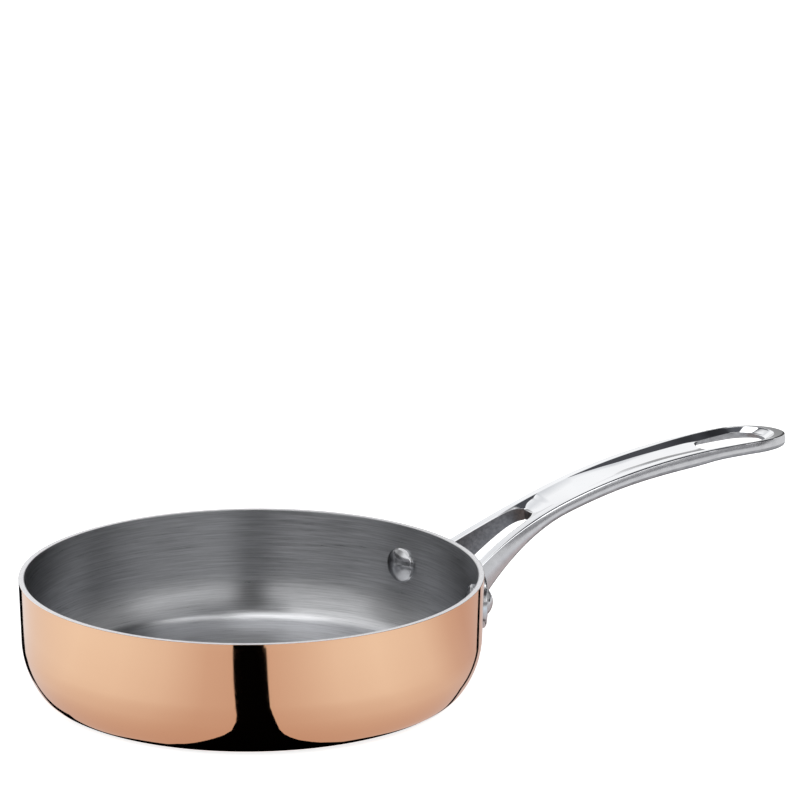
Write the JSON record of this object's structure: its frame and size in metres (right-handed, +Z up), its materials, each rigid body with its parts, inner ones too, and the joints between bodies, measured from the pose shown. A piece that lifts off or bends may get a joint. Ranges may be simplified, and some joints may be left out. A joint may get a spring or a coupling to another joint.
{
  "type": "frying pan",
  "caption": "Small round frying pan with straight walls, a copper outside and a steel inside, and a riveted cast handle that forks at the wall and ends in a hanging loop.",
  "frame": {"origin": "centre of the flat underside of the base, on the surface that the pan stands on", "axes": "+Z up out of the pan's mouth, +X from the bowl's axis along the handle, +Y to the left of the handle"},
  "size_m": [0.2975, 0.16, 0.0637],
  "materials": {
    "copper": "polished copper",
    "aluminium": "bare, seen only at the cut rim",
    "brushed_lining": "fine brushed round the bowl",
    "cast_steel": "satin sides, polished top strips and groove",
    "rivet_steel": "satin"
  },
  "bodies": {
    "root": {"copper_shell": "copper", "aluminium_core": "aluminium", "steel_lining": "brushed_lining", "handle": "cast_steel", "rivet_left": "rivet_steel", "rivet_right": "rivet_steel"}
  },
  "joints": []
}
